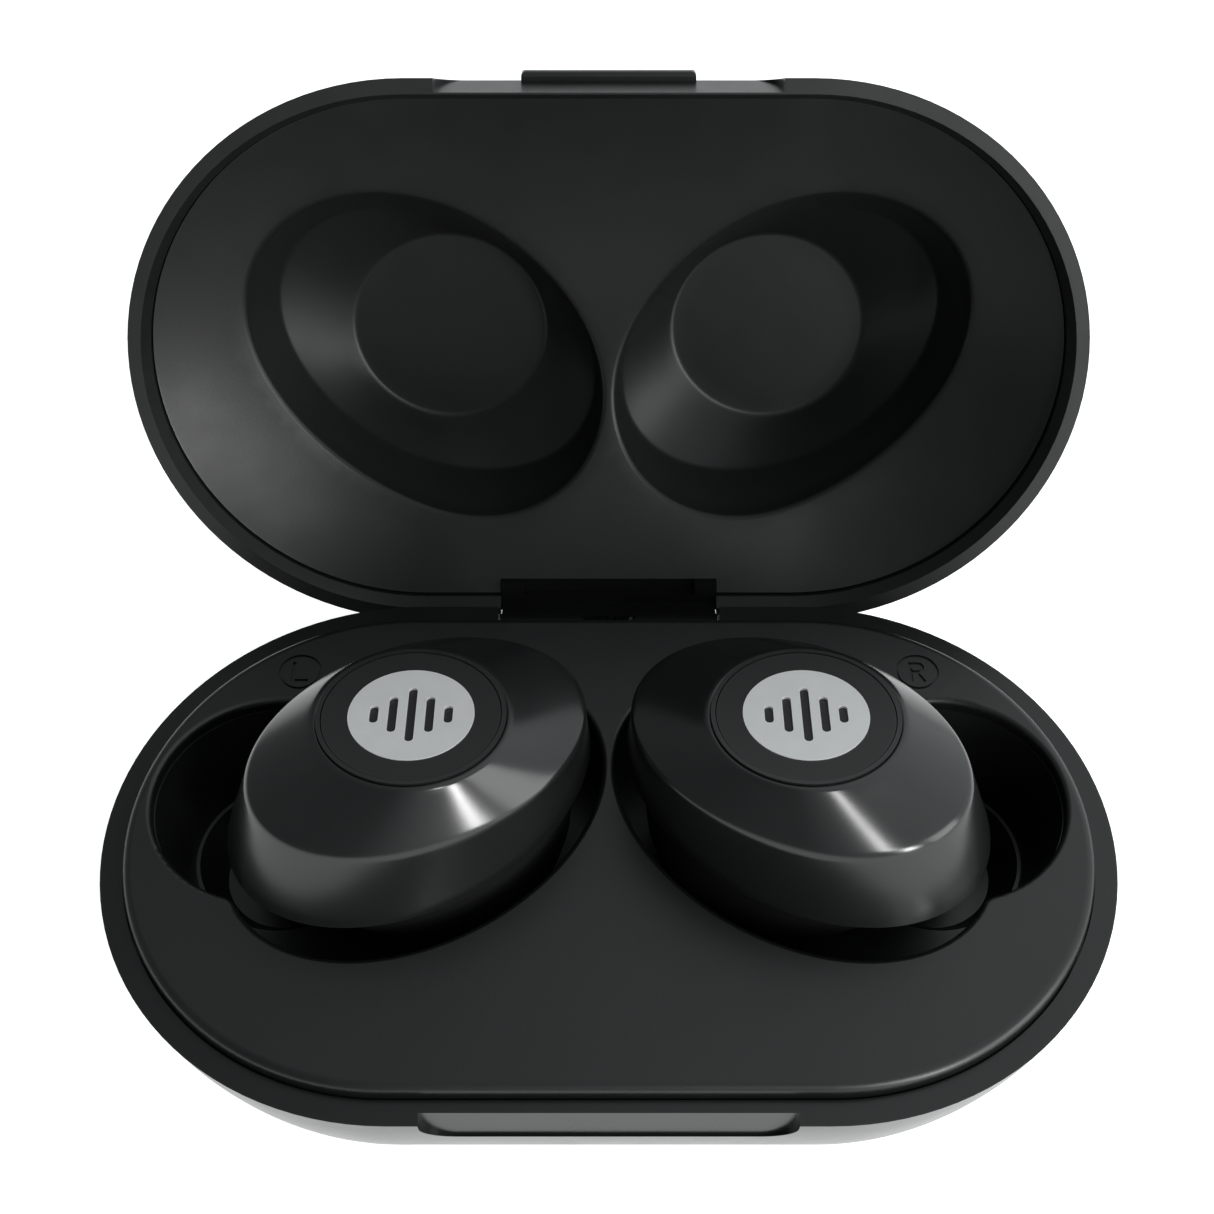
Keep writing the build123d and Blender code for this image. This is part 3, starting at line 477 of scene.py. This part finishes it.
def make_bud_shell(side, name):
    """The flared skirt and cone with softly rounded edges, hollow inside, with a seat for the trim ring."""
    foot, edge = oval_ring(side, BUD_SKIRT), oval_ring(side, BUD_EDGE)
    inner_foot = oval_ring(side, BUD_SKIRT, BUD_SKIN)
    inner_edge = oval_ring(side, BUD_EDGE, BUD_SKIN) - np.array((0, 0, BUD_EDGE_SKIN))
    rim, seat = face_ring(side, FACE_R, 0.0), face_ring(side, SEAT_R, 0.0)
    seat_floor = face_ring(side, SEAT_R, -SEAT_DEEP)
    hole, hole_under = face_ring(side, HOLE_R, -SEAT_DEEP), face_ring(side, HOLE_R, -SEAT_DEEP - HOLE_SKIN)
    skirt = rounded(inner_foot, foot, edge, SKIRT_ROUND, 3)
    shoulder = rounded(foot, edge, rim, EDGE_ROUND, 8)
    brow = rounded(edge, rim, seat, BROW_ROUND, 4)
    rings = skirt + between(skirt[-1], shoulder[0], 5) + shoulder + between(shoulder[-1], brow[0], 7) + brow
    rings += rounded(rim, seat, seat_floor, SEAT_ROUND, 2) + [seat_floor, hole, hole_under]
    rings += between(hole_under, inner_edge, 3) + [inner_edge]
    rings += between(inner_edge, inner_foot, 3) + [inner_foot]
    mesh = rings_to_mesh(f"earbud_shell_{name}", [ring * MM for ring in rings])
    new_piece(f"earbud_shell_{name}", mesh, f"bud_{name}", "bud_satin_black", f"bud_{name}_outer_shell")


# ================= ear tips =================
def make_ear_tip(side, name):
    """A domed silicone ear tip: a thin flared skirt round a sleeve, turned about the nozzle's axis."""
    axis = np.array((side * sin(TIP_LEAN), 0, -cos(TIP_LEAN)))
    across = np.array((0.0, 1.0, 0.0))
    upright = np.cross(axis, across)
    base = np.array((side * TIP_BASE[0], TIP_BASE[1], TIP_BASE[2]))
    angles = np.linspace(0, 2 * pi, TIP_STATIONS, endpoint=False)[:, None]
    round_axis = np.cos(angles) * across + np.sin(angles) * upright
    rings = [(base + axis * reach + radius * round_axis) * MM for radius, reach in TIP_OUTSIDE + TIP_INSIDE]
    mesh = rings_to_mesh(f"ear_tip_{name}", rings, sharp=TIP_SHARP)
    piece = new_piece(f"ear_tip_{name}", mesh, f"bud_{name}", "ear_tip_rubber", f"bud_{name}_ear_tip")
    smoother = piece.modifiers.new("smooth", "SUBSURF")
    smoother.levels = smoother.render_levels = 1


# ================= lid liner =================
def dish(x, y):
    """Height of the closed liner's dished underside at a place, in millimetres."""
    edge = LINER[1] / 2
    bow = (edge**2 + LINER_RISE**2) / (2 * LINER_RISE)
    beyond = np.maximum(np.abs(x) - (LINER[0] - LINER[1]) / 2, 0)
    return LINER_TOP - bow + np.sqrt(bow**2 - beyond**2 - y**2)


def pocket_ring(side, heights):
    """Points on the pocket's wall, each at its own height between the mouth and the floor."""
    levels = [np.array(level, float) for level in LID_LEVELS]
    ring = np.zeros((STATIONS, 3))
    for low, high in zip(levels, levels[1:]):
        share = (heights - low[5]) / (high[5] - low[5])
        here = (share >= 0) & (share <= 1)
        share = share[:, None]
        blend = oval_ring(side, low) * (1 - share) + oval_ring(side, high) * share
        ring = np.where(here[:, None], blend, ring)
    return ring


def pocket_mouth(side):
    """Where the pocket's wall meets the dished surface."""
    heights = np.full(STATIONS, LID_LEVELS[1][5])
    for _ in range(MOUTH_TRIES):
        ring = pocket_ring(side, heights)
        heights = 0.5 * heights + 0.5 * dish(ring[:, 0], ring[:, 1])
    return pocket_ring(side, heights)


def mouth_fillet(mouth, share):
    """A ring of the mouth's rounded edge: share 0 lies out on the dish and share 1 stands on the wall."""
    centre = mouth.mean(axis=0)
    along = np.roll(mouth, -1, axis=0) - np.roll(mouth, 1, axis=0)
    outward = np.stack((along[:, 1], -along[:, 0]), axis=1)
    outward /= np.linalg.norm(outward, axis=1)[:, None]
    if np.mean(np.sum(outward * (mouth - centre)[:, :2], axis=1)) < 0:
        outward = -outward
    angle = share * pi / 2
    plan = mouth[:, :2] + outward * MOUTH_ROUND * (1 - sin(angle))
    height = dish(plan[:, 0], plan[:, 1]) + MOUTH_ROUND * (1 - cos(angle))
    return np.column_stack((plan, height))


def pocket_rings(side):
    """All the rings of one lid pocket, from its rounded mouth to the middle of its floor."""
    mouth = pocket_mouth(side)
    rings = [mouth_fillet(mouth, share) for share in np.linspace(0, 1, 8)]
    top = rings[-1]
    step, disc = (oval_ring(side, level) for level in LID_LEVELS[2:])
    wall = between(top, step, 3)
    turn = rounded(wall[-1], step, disc, STEP_ROUND, 5)
    middle = disc.mean(axis=0)
    corner = rounded(step, disc, np.broadcast_to(middle, disc.shape), FLOOR_ROUND, 4)
    floor = [middle + (corner[-1] - middle) * share for share in FLOOR_SHARES]
    return rings + wall + turn + between(turn[-1], corner[0], 4) + corner + floor


def liner_outline():
    """The liner's edge in plan: a stadium with a straight notch for the hinge block."""
    end, radius = (LINER[0] - LINER[1]) / 2, LINER[1] / 2
    swing = np.linspace(-pi / 2, pi / 2, END_POINTS)
    right = [(end + radius * cos(a), radius * sin(a)) for a in swing]
    left = [(-x, -y) for x, y in right]
    notch = [(BLOCK_HALF, radius), (BLOCK_HALF, BLOCK_FRONT)]
    notch += [(-x, y) for x, y in reversed(notch)]
    front = [(x, -radius) for x in np.linspace(-end, end, FRONT_POINTS)[1:-1]]
    return right + notch + left + front


def grid_points():
    """A square grid of plan points over the liner."""
    along, across = (np.arange(first, last, GRID_STEP) for first, last in GRID_SPANS)
    return [(x, y) for x in along for y in across]


def inside(place, loop):
    """Whether a plan point lies in a closed loop."""
    within = False
    for (x0, y0), (x1, y1) in zip(loop, loop[1:] + loop[:1]):
        if (y0 > place[1]) != (y1 > place[1]) and place[0] < x0 + (place[1] - y0) * (x1 - x0) / (y1 - y0):
            within = not within
    return within


def clear_of(place, loops):
    """Whether a grid point lies in the liner, off its pockets and not close to any of its edges."""
    if not inside(place, loops[0]) or any(inside(place, loop) for loop in loops[1:]):
        return False
    near = min(np.min(np.hypot(*(np.array(loop) - place).T)) for loop in loops)
    return near > GRID_STEP * 0.5


def add_dish(bm, loops):
    """Fills the dished face between the outline, loops[0], and the pockets' mouths."""
    points, edges = [], []
    for loop in loops:
        first = len(points)
        edges += [(first + k, first + (k + 1) % len(loop)) for k in range(len(loop))]
        points += loop
    points += [place for place in grid_points() if clear_of(place, loops)]
    corners, _, faces, *_ = delaunay_2d_cdt([Vector(place) for place in points], edges, [], 1, 1e-5)
    verts = [bm.verts.new((corner.x, corner.y, float(dish(corner.x, corner.y)))) for corner in corners]
    for face in faces:
        middle = sum((corners[k] for k in face), Vector((0, 0))) / len(face)
        if not any(inside(middle, loop) for loop in loops[1:]):
            bm.faces.new([verts[k] for k in face])


def open_lid():
    """The turn that takes a lid piece from closed to the stored, fully open place."""
    hinge = next(joint for joint in frame["joints"] if joint["name"] == "lid_hinge")
    place = Matrix.Translation(Vector(hinge["pos_m"]))
    angle = radians(-min(hinge["range_deg"]))
    return place @ Matrix.Rotation(angle, 4, Vector(hinge["axis"])) @ place.inverted()


def make_lid_liner():
    """The dished liner with its two stepped pockets, swung open with the lid."""
    pockets = [pocket_rings(side) for side in (-1, 1)]
    mouths = [[tuple(point[:2]) for point in rings[0]] for rings in pockets]
    bm = bmesh.new()
    add_dish(bm, [liner_outline()] + mouths)
    for rings in pockets:
        bm.faces.new(add_rings(bm, rings)[-1])
    bmesh.ops.remove_doubles(bm, verts=bm.verts, dist=WELD)
    bmesh.ops.dissolve_degenerate(bm, edges=bm.edges, dist=WELD / 4)
    bmesh.ops.recalc_face_normals(bm, faces=bm.faces)
    if sum(face.normal.z * face.calc_area() for face in bm.faces) > 0:
        bmesh.ops.reverse_faces(bm, faces=bm.faces)
    bmesh.ops.transform(bm, matrix=open_lid() @ Matrix.Scale(MM, 4), verts=bm.verts)
    mesh = finish_mesh("pocket_liner", bm, LINER_SHARP)
    piece = new_piece("pocket_liner", mesh, "lid", "liner_black", "lid_liner")
    backing = piece.modifiers.new("thickness", "SOLIDIFY")
    backing.thickness = LINER_SKIN * MM
    backing.offset = -1


# ================= stage =================
def make_floor():
    """A pale table that the case stands on, in a pool of light that fades with distance."""
    bm = bmesh.new()
    bmesh.ops.create_grid(bm, x_segments=8, y_segments=8, size=FLOOR_SIZE / 2)
    mesh = bpy.data.meshes.new("floor")
    bm.to_mesh(mesh)
    bm.free()
    floor = bpy.data.objects.new("floor", mesh)
    bpy.context.scene.collection.objects.link(floor)

    def textures(tree):
        place = shader(tree, "TexCoord").outputs["Object"]
        away = shader(tree, "VectorMath", {0: place}, operation="LENGTH").outputs["Value"]
        glow = remap(tree, away, POOL_RADIUS, POOL_FADE, FLOOR_GLOW, FLOOR_DIM_GLOW)
        paper = mix_colour(tree, noise(tree, 0.01), grey(0.80), grey(0.84))
        return {"Base Color": paper, "Emission Strength": glow}

    fixed = {"Roughness": 0.9, "Emission Color": grey(1.0)}
    mesh.materials.append(material("floor", fixed, textures))


def make_sky():
    """Soft white surroundings: brighter to the right, dimmer to the front."""
    world = bpy.data.worlds.new("studio")
    bpy.context.scene.world = world
    world.use_nodes = True
    tree = world.node_tree
    direction = shader(tree, "TexCoord").outputs["Generated"]
    across, depth, _ = shader(tree, "SeparateXYZ", {0: direction}).outputs
    side = remap(tree, across, *SKY_TURN_RIGHT, SKY_LEFT, SKY_RIGHT)
    share = remap(tree, depth, *SKY_TURN_BACK, SKY_FRONT_SHARE, 1.0)
    level = shader(tree, "Math", {0: side, 1: share}, operation="MULTIPLY").outputs[0]
    tree.links.new(level, tree.nodes["Background"].inputs["Strength"])
    tree.nodes["Background"].inputs["Color"].default_value = SKY_TINT


def softbox(name, towards, size, watts):
    """A rectangular area light that shines at the middle of the case."""
    middle = (Vector(CAD_BOX[0]) + Vector(CAD_BOX[1])) / 2
    data = bpy.data.lights.new(name, "AREA")
    data.shape = "RECTANGLE"
    data.size, data.size_y = size
    data.energy = watts
    light = bpy.data.objects.new(name, data)
    direction = Vector(towards).normalized()
    light.location = middle + direction * LIGHT_DISTANCE
    light.rotation_euler = direction.to_track_quat("Z", "Y").to_euler()
    bpy.context.scene.collection.objects.link(light)


def make_camera():
    """Looks down at the hinge from the front."""
    low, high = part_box("hinge_pin")
    aim = (low + high) / 2 + Vector((0, AIM_BEHIND_PIN, 0))
    data = bpy.data.cameras.new("camera")
    data.lens = LENS
    data.shift_x = VIEW_SHIFT
    data.clip_start = 0.005
    camera = bpy.data.objects.new("camera", data)
    camera.location = aim + VIEW_DISTANCE * Vector((0, -cos(VIEW_PITCH), sin(VIEW_PITCH)))
    camera.rotation_euler = (pi / 2 - VIEW_PITCH, 0, 0)
    bpy.context.scene.collection.objects.link(camera)
    bpy.context.scene.camera = camera


finishes = make_finishes()
finish_cad_nodes(finishes)
for side, name in ((-1, "left"), (1, "right")):
    make_bud_shell(side, name)
    make_ear_tip(side, name)
make_lid_liner()
make_floor()
make_sky()
for light in SOFTBOXES:
    softbox(*light)
make_camera()
bpy.context.scene.view_settings.view_transform = "Standard"
